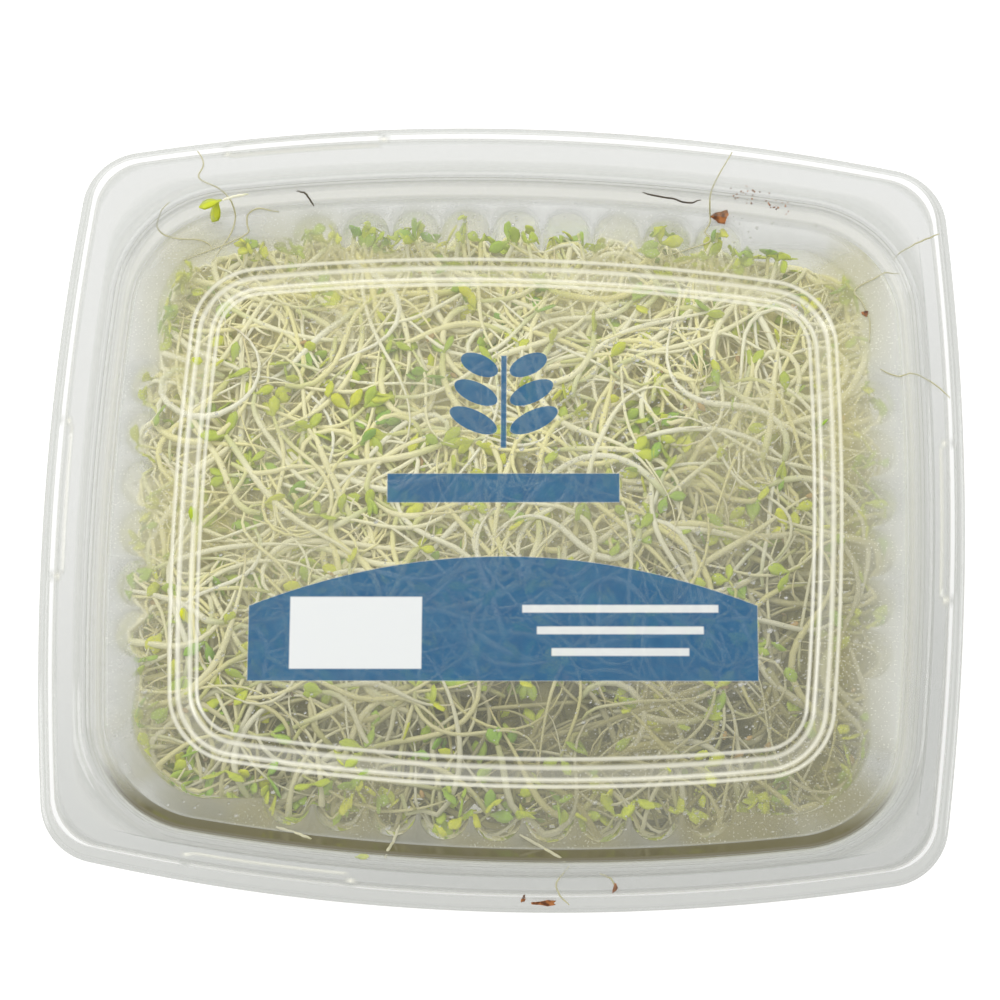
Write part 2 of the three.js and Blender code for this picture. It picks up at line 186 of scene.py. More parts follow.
# name: (place, width and depth, power)
LAMPS = {
    "back_lamp": ((-0.3, 0.7, 0.8), (0.7, 0.4), 5.2),
    "left_lamp": ((-1.1, -0.1, 0.7), (0.45, 0.9), 2.6),
    "right_lamp": ((1.1, 0.2, 0.8), (0.45, 0.8), 2.0),
}
LAMP_TARGET = Vector((0, 0, 0.03))
for lamp_name, (lamp_place, size, power) in LAMPS.items():
    lamp_data = bpy.data.lights.new(lamp_name, "AREA")
    lamp_data.shape = "RECTANGLE"
    lamp_data.size, lamp_data.size_y = size
    lamp_data.energy = power
    lamp = put_in_scene(lamp_name, lamp_data)
    lamp.location = lamp_place
    lamp.rotation_euler = (LAMP_TARGET - Vector(lamp_place)).to_track_quat("-Z", "Y").to_euler()
    lamp.visible_glossy = lamp_name != "back_lamp"
world = bpy.data.worlds.new("studio")
world.use_nodes = True
room_light = world.node_tree.nodes["Background"].inputs
room_light["Color"].default_value = (1, 1, 1, 1)
room_light["Strength"].default_value = 0.58
bpy.context.scene.world = world
bpy.context.scene.view_settings.view_transform = "Standard"
# Light passes many clear layers here, and bounces little
cycles = bpy.context.scene.cycles
cycles.transparent_max_bounces = 16
cycles.max_bounces = 3
cycles.diffuse_bounces = 1
cycles.glossy_bounces = 1
cycles.use_light_tree = False

# Core of the heap: the matted inside of the sprouts, under the loose stems. Its tone is painted as dark as
# the shaded gaps between them, painted darker towards the front, and lifted by a faint painted glow. The
# heap fills the tray as a rounded box that narrows towards the base, pressed flat by the lid and slumped
# at the edges. From here on everything is made in mm.
MM = 0.001
HEAP_MIDDLE = np.array([0.9, -2, 25.6])
HEAP_HALF = np.array([80.4, 67.4, 24.6])
SQUARENESS = 13
# How much the short and the long sides bulge, by the square of the way along them
SHORT_BOW, LONG_BOW = BOWS = (0.00088, 0.00115)
CUP_MIDDLE = HEAP_MIDDLE[:2]
CUP_DEPTH = 50.8
CUP_LEAN = 4
CUP_FLOOR = 0.5
SHEET = 0.45
# How far the heap's top sinks at its edge and, more, at the back, and from which share of its size
SLUMP, BACK_SLUMP = 5, 13
SLUMP_FROM, BACK_SLUMP_FROM = 0.72, 0.5
# The cup's flutes: how far out they stand from the middle, how many, and how far apart
FLUTE_LINE = (75.2, 62)
FLUTE_COUNTS = (6, 9)
FLUTE_PITCH = 10.6
FLUTE_RADIUS = 5.4
CORNER_LINE = (77.2, 64.4, 18.6)
# What the cup's corners take from the room inside: its sheet with some air, and the sides' bulge
CORNER_AIR = 0.7
CORNER_BULGE = (1.7, 3.9)
CORE_DEPTH = 6.2
CORE_ROOM = 6
CORE_WAVES = [(0.5, 0.2, 0.3), (-0.3, 0.55, 0.2), (0.25, -0.4, 0.6), (0.8, 0.7, -0.3)]
FRONT_SLANT = 0.35


def heap_level(points):
    """0 in the heap's middle and 1 on its face."""
    narrow = 1 - CUP_LEAN / FLUTE_LINE[0] * (1 - points[..., 2:] / CUP_DEPTH)
    reach = HEAP_HALF * np.concatenate([narrow, narrow, np.ones_like(narrow)], -1)
    return (np.abs((points - HEAP_MIDDLE) / reach) ** SQUARENESS).sum(-1) ** (1 / SQUARENESS)


def heap_slope(points):
    """How the level grows along each axis, which points straight out of the heap."""
    step = 0.5
    steps = np.eye(3) * step
    rises = [heap_level(points + along) - heap_level(points - along) for along in steps]
    return np.stack(rises, -1) / (2 * step)


def unit(vectors):
    """The same directions, each 1 long."""
    return vectors / np.maximum(np.linalg.norm(vectors, axis=-1, keepdims=True), 1e-9)


def to_depth(points, depth):
    """The points moved towards or away from the heap's middle, to a depth under its face."""
    for _ in range(3):
        level = 1 - depth * np.linalg.norm(heap_slope(points), axis=-1)
        points = HEAP_MIDDLE + (points - HEAP_MIDDLE) * (level / heap_level(points))[..., None]
    return points


def slump(points):
    """The heap's top sinks towards the walls, most of all along the back."""
    x, y, z = np.moveaxis(points - HEAP_MIDDLE, -1, 0)
    edge = np.maximum(np.abs(x) / HEAP_HALF[0], np.abs(y) / HEAP_HALF[1]).clip(SLUMP_FROM, 1)
    back = (y / HEAP_HALF[1]).clip(BACK_SLUMP_FROM, 1)
    high = (z / HEAP_HALF[2]).clip(0, 1) ** 2
    sunk = points.copy()
    sunk[..., 2] -= high * (SLUMP * (edge - SLUMP_FROM) + BACK_SLUMP * (back - BACK_SLUMP_FROM))
    return sunk


def keep_in_cup(points, room):
    """The points moved in to where they clear the cup's fluted wall by this much room."""
    kept = points.copy()
    kept[..., 2] = kept[..., 2].clip(CUP_FLOOR + room, None)
    inset = CUP_LEAN * (1 - kept[..., 2] / CUP_DEPTH).clip(0, 1)
    flat = kept[..., :2] - CUP_MIDDLE
    for across, bow in enumerate(BOWS):
        along = flat[..., 1 - across]
        scale = 1 - inset / FLUTE_LINE[0]
        flutes_along = along / scale / FLUTE_PITCH + FLUTE_COUNTS[across] / 2
        from_flute = flutes_along % 1 * FLUTE_PITCH - FLUTE_PITCH / 2
        dip = np.sqrt((max(FLUTE_RADIUS - SHEET - room, 0) ** 2 - from_flute ** 2).clip(0))
        fluted = np.abs(along) < FLUTE_PITCH * FLUTE_COUNTS[across] / 2
        line = np.where(fluted, FLUTE_LINE[across] + dip, CORNER_LINE[across] - CORNER_AIR)
        limit = line - inset - bow * along ** 2 - room
        flat[..., across] = flat[..., across].clip(-limit, limit)
    bend_from = np.array([CORNER_LINE[i] - CORNER_LINE[2] - CORNER_BULGE[i] for i in (0, 1)])
    past = (np.abs(flat) - bend_from).clip(0)
    reach = np.hypot(past[..., 0], past[..., 1])
    limit = CORNER_LINE[2] - CORNER_AIR - inset - room
    shrink = np.where((past > 0).all(-1), np.minimum(1, limit / np.maximum(reach, 0.1)), 1)[..., None]
    kept[..., :2] = np.where(shrink < 1, np.sign(flat) * (bend_from + past * shrink), flat) + CUP_MIDDLE
    return kept


def mesh_piece(name, points, faces, material, values=None, smooth=True):
    """A piece from points in mm and rows of corner numbers. The values are what its finish reads, as
    numbers or arrays that spread over the points."""
    mesh = bpy.data.meshes.new(name)
    points = np.asarray(points, float)
    mesh.from_pydata((points.reshape(-1, 3) * MM).tolist(), [], [list(face) for face in faces])
    for value_name, numbers in (values or {}).items():
        attribute = mesh.attributes.new(value_name, "FLOAT", "POINT")
        spread = np.broadcast_to(np.asarray(numbers, np.float32), points.shape[:-1])
        attribute.data.foreach_set("value", spread.ravel())
    mesh.shade_smooth() if smooth else mesh.shade_flat()
    mesh.materials.append(material)
    piece = put_in_scene(name, mesh)
    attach(piece, "root")
    return piece


def front_shade(finish, light, dark):
    """The light comes from the back left, so the heap's upper part darkens towards the front right,
    between these two places in metres."""
    x, y, z = finish.axes()
    return (y - x * FRONT_SLANT).between(light, dark) * z.between(0.03, 0.044)


core = Finish("matted_sprouts")
core_strands = core.noise(420, 5, (1, 0.35, 1)) * 0.5 + core.noise(520, 4, (0.3, 1, 1)) * 0.5
core_tone = core.mix(core_strands.between(0.38, 0.6), colour(188, 176, 90), colour(236, 226, 152))
core_tone = core.mix(core.noise(150, 3).between(0.56, 0.7) * 0.6, core_tone, colour(160, 164, 66))
core_tone = core.mix(front_shade(core, 0.05, -0.08) * 0.9, core_tone, colour(88, 84, 36))
# The core glows faintly in its own tone: painted light that lifts its shade.
core_finish = core.shade({
    "Base Color": core_tone,
    "Emission Color": core_tone,
    "Emission Strength": 0.12,
    "Roughness": 0.6,
    "Normal": core.bump(core_strands, 0.002),
})
bpy.ops.mesh.primitive_ico_sphere_add(subdivisions=5, radius=1)
ball = bpy.context.object
core_points = np.array([vertex.co for vertex in ball.data.vertices])
core_faces = [tuple(face.vertices) for face in ball.data.polygons]
bpy.data.objects.remove(ball)
core_points = core_points * HEAP_HALF + HEAP_MIDDLE
bumps = sum(np.sin(core_points @ np.array(wave) + phase) for phase, wave in enumerate(CORE_WAVES))
core_points = keep_in_cup(slump(to_depth(core_points, CORE_DEPTH + 0.5 * bumps)), CORE_ROOM)
heap_core = mesh_piece("sprout_core", core_points, core_faces, core_finish)
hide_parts("sprouts")

# Stems: each sprout is one ivory stem, 30 to 50 mm long and 1.4 mm thick, that thins to a root at its
# far end. They grew tangled and were packed loose, so they arch, loop and cross in every direction.
STEM_STEPS = 18
STEM_RADIUS = 0.7
STEM_LENGTHS = (26, 56)
STEM_ROOM = 0.85
# Thickness along a stem, from root to tip, and of one stem against the next
STEM_TAPER = ([0, 0.06, 0.3, 0.55, 0.96, 1], [0.1, 0.3, 0.55, 1, 1, 0.75])
STEM_SIZES = (0.5, 0.66, 0.84, 1.04)
CLIMBER_SIZE = 0.7
# How stems wind: the rise and fall of their depth, and how much they bend, weave and hook per mm
SWING, SWING_WAVE = 0.35, 7
BEND = 1 / 22
WEAVE, WEAVE_WAVE = 1 / 7, 6
HOOK = 0.32
HOOKED_SHARE = 0.4
HOOK_FROM = 0.7
# name: (how many, shares on top, sides and base, least and most depth, how much yellower and darker painted
# shade it gets, share with leaves)
STEM_LAYERS = {
    "stems_pressed": (440, (1, 0, 0), (0.8, 2.4), 0, 0.6),
    "stems_upper": (540, (1, 0, 0), (2.0, 4.6), 0.35, 0.6),
    "stems_lower": (330, (1, 0, 0), (3.6, 6.6), 0.75, 0.45),
    "stems_sides": (430, (0, 1, 0), (0.8, 4.0), 0.2, 0.5),
    "stems_inside": (240, (0, 1, 0), (4.0, 8.0), 0.6, 0.3),
    "stems_base": (230, (0, 0, 1), (0.8, 4.0), 0.3, 0.35),
    "stems_climbing": (180, None, None, 0.2, 0.75),
}
# Climbing stems: the share on the long sides, and where their feet and tips are, as distances along
# the wall, out from the flutes' middles, and up. The front wall shows most, so tips there stay in
CLIMBERS_ON_LONG_SIDES = 0.66
CLIMB_ALONG, CLIMB_LEAN = 59.4, 4
FOOT_OUT, FOOT_Z = (-9, -3), (41, 44)
TIP_OUT, TIP_Z = (-2, 3.5), (45, 48.8)
FRONT_TIP_IN = 3.5
rng = np.random.default_rng(7)


def sweep(paths, across, up, wide, high):
    """Closed tubes of oval section along many paths: their points by path, step and side, and faces."""
    count, steps = paths.shape[:2]
    sides = 6
    ring = np.arange(sides)
    turn = ring * 2 * math.pi / sides
    points = (
        paths[:, :, None]
        + across[:, :, None] * (wide[..., None] * np.cos(turn))[..., None]
        + up[:, :, None] * (high[..., None] * np.sin(turn))[..., None]
    )
    start = np.arange(steps - 1)[:, None] * sides
    beside = np.roll(ring, -1)
    wall = np.stack([start + ring, start + beside, start + sides + beside, start + sides + ring], -1)
    half = [[0, 1, 2, 3], [0, 3, 4, 5]]
    first = np.array(half)[:, ::-1]
    last = np.array(half) + (steps - 1) * sides
    faces = np.concatenate([wall.reshape(-1, 4), first, last])
    faces = faces + (np.arange(count) * steps * sides)[:, None, None]
    return points, faces.reshape(-1, 4)


def frames_along(paths, normals):
    """The two directions across each path: flat to the heap's face, and out of it."""
    heading = unit(np.gradient(paths, axis=1))
    across = unit(np.cross(heading, normals))
    return heading, across, unit(np.cross(across, heading))


def places_on_heap(count, shares):
    """Random places on the heap's top, sides or base."""
    share_x = HEAP_HALF[1] / (HEAP_HALF[0] + HEAP_HALF[1])
    places = rng.uniform(-1, 1, (count, 3))
    side = rng.choice(3, count, p=shares)
    on_x = rng.random(count) < share_x
    places[side == 0, 2] = 1
    places[side == 2, 2] = -1
    for axis, on_wall in enumerate((on_x, ~on_x)):
        moved = (side == 1) & on_wall
        places[moved, axis] = np.sign(places[moved, axis])
    return places * HEAP_HALF + HEAP_MIDDLE


def turned(vectors, axes, angles):
    """Vectors turned about axes at right angles to them."""
    angles = angles[:, None]
    return vectors * np.cos(angles) + np.cross(axes, vectors) * np.sin(angles)


def wander(count, shares, depths):
    """Paths that wind over the heap, each under its face by a depth that rises and falls."""
    place = places_on_heap(count, shares)
    step = rng.uniform(*STEM_LENGTHS, count) / (STEM_STEPS - 1)
    depth = rng.uniform(*depths, count)
    swing = rng.uniform(0, SWING, count) * (depths[1] - depths[0])
    phase = rng.uniform(0, 2 * math.pi, (2, count))
    bend = rng.normal(0, BEND, count)
    weave = rng.uniform(0, WEAVE, count)
    hook = np.where(rng.random(count) < HOOKED_SHARE, rng.uniform(-HOOK, HOOK, count), 0)
    normal = unit(heap_slope(place))
    heading = unit(np.cross(normal, rng.normal(size=(count, 3))))
    paths = []
    for i in range(STEM_STEPS):
        along = i / (STEM_STEPS - 1)
        dive = depth + swing * np.sin(phase[0] + SWING_WAVE * along)
        paths.append(to_depth(place, np.maximum(dive, depths[0])))
        hooked = max(0, along - HOOK_FROM) / (1 - HOOK_FROM)
        curl = bend + weave * np.sin(phase[1] + WEAVE_WAVE * along) + hook * hooked
        heading = turned(heading, normal, curl * step)
        place = to_depth(place + heading * step[:, None], depth)
        normal = unit(heap_slope(place))
        heading = unit(heading - normal * (heading * normal).sum(1, keepdims=True))
    return keep_in_cup(slump(np.stack(paths, 1)), STEM_ROOM)


def climb(count):
    """Paths of short sprouts that stand up from the heap's rim along the wall, most at the back."""
    across = (rng.random(count) < CLIMBERS_ON_LONG_SIDES).astype(int)
    sign = np.where(across == 1, rng.choice([-1, 1], count, p=[0.45, 0.55]), rng.choice([-1, 1], count))
    start_along, end_along = rng.uniform(-CLIMB_ALONG, CLIMB_ALONG, count), rng.normal(0, CLIMB_LEAN, count)
    edge = np.take(FLUTE_LINE, across) - np.take(BOWS, across) * start_along ** 2
    out, high = rng.uniform(*FOOT_OUT, count), rng.uniform(*FOOT_Z, count)
    end_out, end_high = rng.uniform(*TIP_OUT, count), rng.uniform(*TIP_Z, count)
    end_out -= FRONT_TIP_IN * ((across == 1) & (sign < 0))
    share = np.linspace(0, 1, STEM_STEPS)[:, None]
    along = start_along + end_along * share
    out = edge + out + (end_out - out) * share ** 1.6
    paths = np.stack([np.where(across == 1, along, sign * out), np.where(across == 1, sign * out, along),
                      high + (end_high - high) * share], -1)
    paths[..., :2] += CUP_MIDDLE
    return keep_in_cup(paths.transpose(1, 0, 2), STEM_ROOM)


stem = Finish("sprout_stem")
stem_tint, stem_along, stem_deep = (stem.value(name) for name in ("tint", "along", "deep"))
stem_tone = stem.mix(stem_tint, colour(255, 252, 222), colour(250, 242, 168))
# Deeper layers and the climbers are painted yellower and darker, and darker again towards the front: painted
# shade
stem_tone = stem.mix(stem_deep * 0.6, stem_tone, colour(232, 218, 128))
stem_tone = stem.mix(stem_along.between(0.78, 1) * 0.6, stem_tone, colour(190, 200, 98))
stem_tone = stem.mix((1 - stem_along).between(0.8, 1) * 0.4, stem_tone, colour(196, 164, 112))
stem_dim = front_shade(stem, 0.02, -0.075) * (0.5 + stem_deep * 1.1)
stem_tone = stem.mix(stem_dim, stem_tone, colour(112, 104, 42))
# The stems glow faintly in their own tone: painted light that lifts the shade between them
stem_finish = stem.shade({
    "Base Color": stem_tone,
    "Emission Color": stem_tone,
    "Emission Strength": 0.07,
    "Roughness": 0.34 + stem.noise(900) * 0.2,
    "Coat Weight": 0.25,
    "Coat Roughness": 0.15,
    "Normal": stem.bump(stem.noise(1500, 3, (1, 1, 0.4)), 0.0002, 0.5),
})
tips = []
layers = {name: wander(count, shares, depths) if shares else climb(count)
          for name, (count, shares, depths, _, _) in STEM_LAYERS.items()}
for layer_name, paths in layers.items():
    count, _, _, yellow_shade, leafy_share = STEM_LAYERS[layer_name]
    heading, across, up = frames_along(paths, unit(heap_slope(paths)))
    along = np.linspace(0, 1, STEM_STEPS)
    thick = STEM_RADIUS * rng.choice(STEM_SIZES, (count, 1)) * np.interp(along, *STEM_TAPER)
    if layer_name == "stems_climbing":
        thick = thick * CLIMBER_SIZE
    stems = mesh_piece(layer_name, *sweep(paths, across, up, thick, thick), stem_finish, {
        "tint": rng.random((count, 1, 1)), "along": along[:, None], "deep": yellow_shade})
    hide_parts("sprouts")
    leafy = rng.random(count) < leafy_share
    tips.append(np.stack([paths[leafy, -1], heading[leafy, -1], up[leafy, -1]], 1))

# Seed leaves: two small oval leaves at a stem's tip, yellow where light was short and green where it
# was not. They grew face to face and open like a book, some wide and some hardly at all.
LEAF_STEPS = 6
LEAF_OPENINGS = (0.15, 1.1)
LEAF_LENGTHS = (3.8, 5.6)
LEAF_HALF_WIDTHS = (1.05, 1.4)
LEAF_HALF_THICKNESS = 0.3
LEAF_ROOM = 0.5
UNDER_LID = 50.0
tips = np.concatenate(tips)
leaf_foot, leaf_heading, leaf_up = (np.repeat(tips[:, i], 2, 0) for i in range(3))
pair_count = len(tips)
leaf_count = 2 * pair_count
side = np.tile([1, -1], pair_count)
opening = np.repeat(rng.uniform(*LEAF_OPENINGS, pair_count), 2) * side
roll = np.repeat(rng.uniform(-1.2, 1.2, pair_count), 2) + rng.normal(0, 0.25, leaf_count)
leaf_flat = turned(leaf_up, leaf_heading, roll)
leaf_heading = turned(leaf_heading, leaf_flat, opening)
along = np.linspace(0, 1, LEAF_STEPS)
leaf_length = np.repeat(rng.uniform(*LEAF_LENGTHS, pair_count), 2)[:, None, None]
curve = rng.normal(0, 0.5, leaf_count)[:, None, None]
leaf_paths = (
    leaf_foot[:, None]
    + leaf_heading[:, None] * along[None, :, None] * leaf_length
    + leaf_flat[:, None] * (along ** 2)[None, :, None] * curve
)
_, across, up = frames_along(leaf_paths, leaf_flat[:, None])
outline_share = np.interp(along, [0, 0.18, 0.4, 0.62, 0.82, 0.95, 1], [0.22, 0.3, 0.86, 1, 0.86, 0.5, 0.15])
leaf_wide = rng.uniform(*LEAF_HALF_WIDTHS, (leaf_count, 1)) * outline_share
leaf_high = LEAF_HALF_THICKNESS * np.interp(along, [0, 0.2, 0.8, 1], [0.9, 1, 0.9, 0.4])
leaf_paths[..., 2] = np.minimum(leaf_paths[..., 2], UNDER_LID)
leaf_paths = keep_in_cup(leaf_paths, LEAF_ROOM)
leaf = Finish("seed_leaf")
leaf_tone = leaf.mix(leaf.value("tint"), colour(222, 224, 44), colour(128, 178, 58))
leaf_tone = leaf.mix((1 - leaf.value("along")).between(0.6, 1) * 0.5, leaf_tone, colour(196, 204, 108))
leaf_tone = leaf.mix(leaf.noise(700, 3).between(0.45, 0.75) * 0.35, leaf_tone, colour(128, 152, 30))
# The leaves glow faintly in their own tone: painted light that lifts their shade.
leaf_finish = leaf.shade({
    "Base Color": leaf_tone,
    "Emission Color": leaf_tone,
    "Emission Strength": 0.07,
    "Roughness": 0.38,
    "Coat Weight": 0.3,
    "Normal": leaf.bump(leaf.noise(1800, 2), 0.0001, 0.6),
})
leaf_tint = np.repeat(rng.beta(1.2, 1.6, pair_count), 2)[:, None, None]
leaves = mesh_piece("seed_leaves", *sweep(leaf_paths, across, up, leaf_wide, leaf_high), leaf_finish, {
    "tint": leaf_tint, "along": along[:, None]})
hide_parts("sprouts")

# Seed coats: the brown skins of some seeds, split and soft, and a few dark bits of soil. They cling
# among the stems wherever the sprouts shed them.
COAT_COUNT = 150
COAT_STEPS = 5
COAT_DEPTHS = (0.9, 2.6)
COAT_LENGTHS = (0.8, 2.4)
COAT_ROOM = 0.8
# Below this length a piece is soil, not a coat
SOIL_UNDER = 1.4
coat_place = places_on_heap(COAT_COUNT, (0.7, 0.3, 0))
coat_place = slump(to_depth(coat_place, rng.uniform(*COAT_DEPTHS, COAT_COUNT)))
coat_up = unit(heap_slope(coat_place))
coat_heading = unit(np.cross(coat_up, rng.normal(size=(COAT_COUNT, 3))))
coat_long = rng.uniform(*COAT_LENGTHS, COAT_COUNT)
coat_paths = coat_place[:, None] + coat_heading[:, None] * (
    np.linspace(-0.5, 0.5, COAT_STEPS)[None, :, None] * coat_long[:, None, None])
coat_paths = keep_in_cup(coat_paths, COAT_ROOM)
_, across, up = frames_along(coat_paths, coat_up[:, None])
coat_wide = coat_long[:, None] * 0.3 * np.array([0.4, 0.85, 1, 0.8, 0.3])
coat = Finish("seed_coat")
coat_tone = coat.mix(coat.value("tint"), colour(196, 152, 84), colour(84, 64, 46))
coat_tone = coat.mix(coat.noise(900, 2) * 0.5, coat_tone, colour(206, 186, 120))
coat_finish = coat.shade({"Base Color": coat_tone, "Roughness": 0.5, "Coat Weight": 0.3})
coat_tint = np.where(coat_long > SOIL_UNDER, rng.uniform(0, 0.4, COAT_COUNT), 1)[:, None, None]
coat_mesh = sweep(coat_paths, across, up, coat_wide, coat_wide * 0.6)
seed_coats = mesh_piece("seed_coats", *coat_mesh, coat_finish, {"tint": coat_tint})
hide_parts("sprouts")

# Tray: one clear sheet, formed into a cup with half-round flutes, a ledge and a collar for the lid's
# plug, a low bead and a flange. All four sides bulge, and its corners are plain.
RIM_MIDDLE = (0, 0)
PLUG_FOOT = (81.7, 68.6, 22)
PLUG_TOP = (83.2, 70.9, 23)
BEAD = (85.8, 73.1, 25.5)
TRAY_EDGE = (91.4, 79.6, 11)
LEDGE_Z = 50.8
FLANGE_Z = 54.9
FLUTE_STEPS = 12
TRAY_CORNER = np.linspace(0, 1, 17)
# Bends of a profile, in radians: from the first on they are rounded, from the second on drawn in full
LEAST_BEND, FULL_BEND = 0.05, 0.7


def grown(size, by):
    """Half sizes and corner radius of a wider outline."""
    return tuple(part + by for part in size)


def corner_arc(size, shares):
    """Points on a corner, placed so that it runs smoothly into both bulging sides."""
    a, b, radius = size
    x, y = a - radius, b - radius
    for _ in range(30):
        x, y = (a - SHORT_BOW * y * y - radius * math.hypot(1, 2 * SHORT_BOW * y),
                b - LONG_BOW * x * x - radius * math.hypot(1, 2 * LONG_BOW * x))
    start = math.atan(2 * SHORT_BOW * y)
    end = math.pi / 2 - math.atan(2 * LONG_BOW * x)
    angle = start + (end - start) * np.asarray(shares)
    return np.stack([x + radius * np.cos(angle), y + radius * np.sin(angle)], 1)


def mirrored(quarter, middle):
    """A whole outline from its quarter, listed from the right-hand side to the back."""
    flips = [quarter, quarter[::-1] * (-1, 1), -quarter, quarter[::-1] * (1, -1)]
    return np.concatenate(flips) + middle


def plain_outline(size, middle, short_shares, corner_shares, long_shares):
    """A bulging rectangle with round corners, with points at these shares of its sides and corners."""
    arc = corner_arc(size, corner_shares)
    y = arc[0, 1] * np.asarray(short_shares)
    x = arc[-1, 0] * np.asarray(long_shares)
    short = np.stack([size[0] - SHORT_BOW * y * y, y], 1)
    long = np.stack([x, size[1] - LONG_BOW * x * x], 1)
    return mirrored(np.concatenate([short, arc, long[::-1]]), middle)


def flute_row(count, pitch, radius, bow):
    """Half a row of flutes, from a side's middle outwards, as distances along and out."""
    half_width = min(radius, pitch / 2 - 0.15)
    reach = math.asin(half_width / radius)
    row = []
    for i in range(count):
        middle = (i - (count - 1) / 2) * pitch
        slope = math.atan(2 * bow * middle)
        for step in range(FLUTE_STEPS + 1):
            angle = reach * (2 * step / FLUTE_STEPS - 1) + slope
            along = middle + radius * math.sin(angle)
            if along > 0.001:
                row.append((along, radius * math.cos(angle) - bow * middle * middle))
    return np.array(row)


def fluted_outline(inset, skin):
    """The cup's wall seen from above, moved in all round. A negative skin gives its inner face."""
    scale = (FLUTE_LINE[0] - inset) / FLUTE_LINE[0]
    radius = FLUTE_RADIUS * scale + skin
    short = flute_row(FLUTE_COUNTS[0], FLUTE_PITCH * scale, radius, SHORT_BOW)
    long = flute_row(FLUTE_COUNTS[1], FLUTE_PITCH * scale, radius, LONG_BOW)
    arc = corner_arc(grown(CORNER_LINE, skin - inset), TRAY_CORNER)
    short = np.stack([FLUTE_LINE[0] - inset + short[:, 1], short[:, 0]], 1)
    long = np.stack([long[:, 0], FLUTE_LINE[1] - inset + long[:, 1]], 1)
    flat = np.linspace(0, 1, 5)[1:-1, None]
    to_arc = short[-1] + (arc[0] - short[-1]) * flat
    from_arc = arc[-1] + (long[-1] - arc[-1]) * flat
    return mirrored(np.concatenate([short, to_arc, arc, from_arc, long[::-1]]), CUP_MIDDLE)


def soft_profile(inner, outer, reach):
    """A profile outwards from the cup, with its bends rounded. Its inner stations centre on the cup, the
    outer ones on the rim. Each row holds half sizes, corner radius, height, middle and how much of a
    bend it is."""
    rows = [np.array([*size, z, *middle, 0])
            for stations, middle in ((inner, CUP_MIDDLE), (outer, RIM_MIDDLE)) for size, z in stations]
    soft = [rows[0]]
    for before, at, after in zip(rows, rows[1:], rows[2:]):
        back = before - at
        on = after - at
        first = at + back * min(0.5, reach / math.hypot(back[0], back[3]))
        last = at + on * min(0.5, reach / math.hypot(on[0], on[3]))
        bend = abs((math.atan2(back[3], back[0]) - math.atan2(on[3], on[0])) % (2 * math.pi) - math.pi)
        for t in np.linspace(0, 1, 4) if bend > LEAST_BEND else [0.5]:
            place = first * (1 - t) ** 2 + at * 2 * t * (1 - t) + last * t * t
            place[6] = min(1, bend / FULL_BEND) * math.sin(math.pi * t) * (bend > LEAST_BEND)
            soft.append(place)
    return np.array(soft + [rows[-1]])


def under_profile(upper):
    """The lower face of a sheet whose upper face has this profile."""
    outwards = (np.diff(upper[:, 0]) + np.diff(upper[:, 1])) / 2
    normals = unit(np.stack([np.diff(upper[:, 3]), -outwards], 1))
    before = np.concatenate([[[0, -1]], normals])
    after = np.concatenate([normals, normals[-1:]])
    shift = (before + after) * SHEET / (1 + (before * after).sum(1, keepdims=True))
    lower = upper.copy()
    lower[:, :3] += shift[:, :1]
    lower[:, 3] += shift[:, 1]
    return lower


def loft(rings):
    """Faces of a closed body through rings of equal numbers of points."""
    levels, count = rings.shape[:2]
    i = np.arange(count)
    j = (i + 1) % count
    low = np.arange(levels - 1)[:, None] * count
    wall = np.stack([low + i, low + j, low + count + j, low + count + i], -1).reshape(-1, 4)
    return wall.tolist() + [i[::-1].tolist(), (i + (levels - 1) * count).tolist()]


def with_height(outline, z):
    """A flat outline's points, all at one height."""
    return np.concatenate([outline, np.full((len(outline), 1), z)], 1)


wall_ring = fluted_outline(0, 0)
quarter_count = len(wall_ring) // 4
short_count = len(flute_row(FLUTE_COUNTS[0], FLUTE_PITCH, FLUTE_RADIUS, SHORT_BOW)) + 3
arc_y = corner_arc(CORNER_LINE, [0])[0, 1]
arc_x = corner_arc(CORNER_LINE, [1])[0, 0]
tray_short = (wall_ring[:short_count, 1] - CUP_MIDDLE[1]) / arc_y
tray_long = (wall_ring[short_count + len(TRAY_CORNER):quarter_count, 0] - CUP_MIDDLE[0])[::-1] / arc_x
tray_inner = [
    (grown(PLUG_FOOT, 0.3), LEDGE_Z),
    (grown(PLUG_FOOT, 1.1), LEDGE_Z + 0.1),
    (grown(PLUG_TOP, 1.1), FLANGE_Z),
    (grown(BEAD, -1.1), FLANGE_Z),
    (BEAD, FLANGE_Z + 1.0),
    (grown(BEAD, 1.2), FLANGE_Z),
]
tray_outer = [(TRAY_EDGE, FLANGE_Z), (grown(TRAY_EDGE, 0.5), FLANGE_Z - 1.7)]
tray_profile = soft_profile(tray_inner, tray_outer, 0.8)


def tray_ring(row):
    outline = plain_outline(tuple(row[:3]), row[4:6], tray_short, TRAY_CORNER, tray_long)
    return with_height(outline, row[3])


foot = [(6, 0), (4.9, 0.15), (4.4, 0.8), (4.05, 2), (3.8, 4)]
wall = list(zip(np.linspace(3.6, 0.25, 8), np.linspace(6, 46, 8)))
cup_outside = foot + wall + [(0.05, 49.2), (0, LEDGE_Z - SHEET - 0.25), (-0.35, LEDGE_Z - SHEET)]
cup_inside = [(inset, z + SHEET * (z < 1)) for inset, z in foot + wall]
cup_inside += [(0.05, 49.8), (-0.1, LEDGE_Z - 0.3), (-0.6, LEDGE_Z)]
tray_rings = [with_height(fluted_outline(inset, 0), z) for inset, z in cup_outside]
tray_rings += [tray_ring(row) for row in under_profile(tray_profile)]
tray_rings += [tray_ring(row) for row in tray_profile[::-1]]
tray_rings += [with_height(fluted_outline(inset, -SHEET), z) for inset, z in cup_inside[::-1]]
tray_rings = np.stack(tray_rings)


